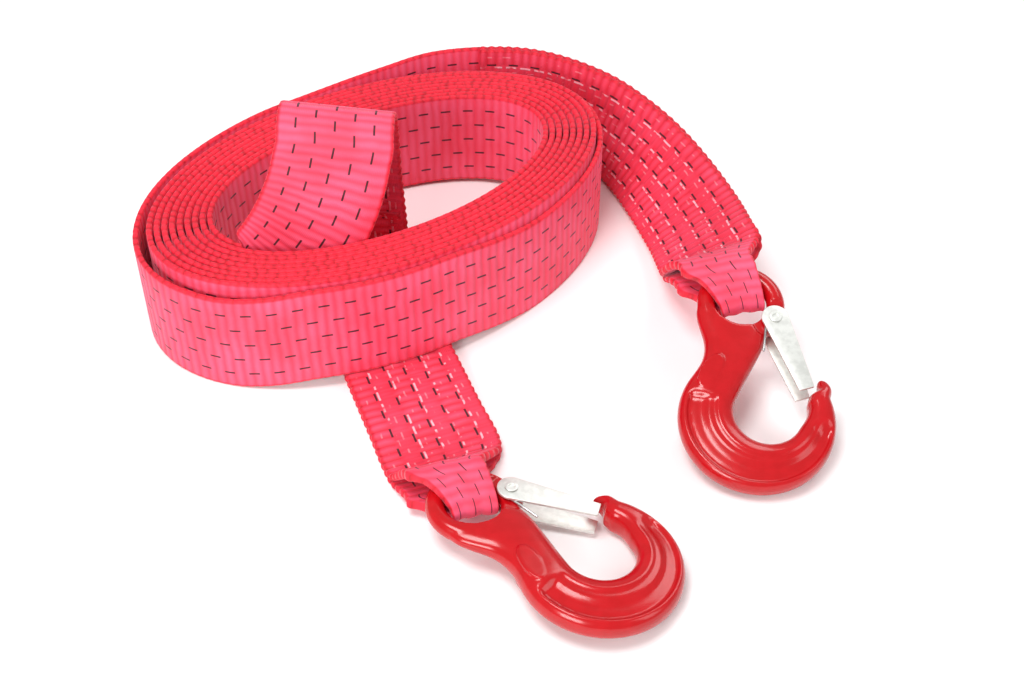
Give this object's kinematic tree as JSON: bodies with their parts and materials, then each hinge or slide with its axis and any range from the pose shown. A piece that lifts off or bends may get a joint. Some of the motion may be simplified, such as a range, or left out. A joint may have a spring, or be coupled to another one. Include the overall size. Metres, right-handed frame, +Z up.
{
  "type": "tow strap",
  "caption": "Tow strap: flat woven webbing wound in an oval coil, each end sewn into a loop that holds a forged eye hook with a sprung safety latch.",
  "frame": {"origin": "middle of the strap's footprint, on the floor it lies on", "axes": "+Z up from the floor; the two hooks lie towards -Y, the rear hook on the +X side; the tail leaves the coil on the +Y side"},
  "size_m": [0.3612, 0.4052, 0.1227],
  "materials": {
    "webbing": "woven polyester, red with black dashes",
    "hook_paint": "glossy red paint on forged steel",
    "zinc_steel": "zinc plated",
    "spring_steel": "bright spring wire"
  },
  "bodies": {
    "webbing": {"webbing": "webbing"},
    "front_hook": {"front_hook": "hook_paint", "front_latch_pin": "zinc_steel", "front_latch_spring": "spring_steel"},
    "front_latch": {"front_latch": "zinc_steel"},
    "rear_hook": {"rear_hook": "hook_paint", "rear_latch_pin": "zinc_steel", "rear_latch_spring": "spring_steel"},
    "rear_latch": {"rear_latch": "zinc_steel"}
  },
  "joints": [
    {"name": "front_hook_swing", "type": "hinge", "parent": "webbing", "child": "front_hook", "pos_m": [-0.00492, -0.11338, 0.0148], "axis": [-0.9362, -0.3373, 0.0985], "range_deg": [0, 60]},
    {"name": "front_latch_pivot", "type": "hinge", "parent": "front_hook", "child": "front_latch", "pos_m": [0.01901, -0.1225, 0.01318], "axis": [-0.0866, -0.0502, -0.995], "range_deg": [0, 20], "stiffness_Nm_per_rad": 0.05, "springref_deg": -28.65, "deforming": ["front_latch_spring"]},
    {"name": "rear_hook_swing", "type": "hinge", "parent": "webbing", "child": "rear_hook", "pos_m": [0.13473, 0.00377, 0.04399], "axis": [-0.9767, -0.2091, -0.0483], "range_deg": [0, 60]},
    {"name": "rear_latch_pivot", "type": "hinge", "parent": "rear_hook", "child": "rear_latch", "pos_m": [0.1546, -0.02356, 0.03509], "axis": [-0.0167, 0.2986, -0.9542], "range_deg": [0, 20], "stiffness_Nm_per_rad": 0.05, "springref_deg": -28.65, "deforming": ["rear_latch_spring"]}
  ]
}
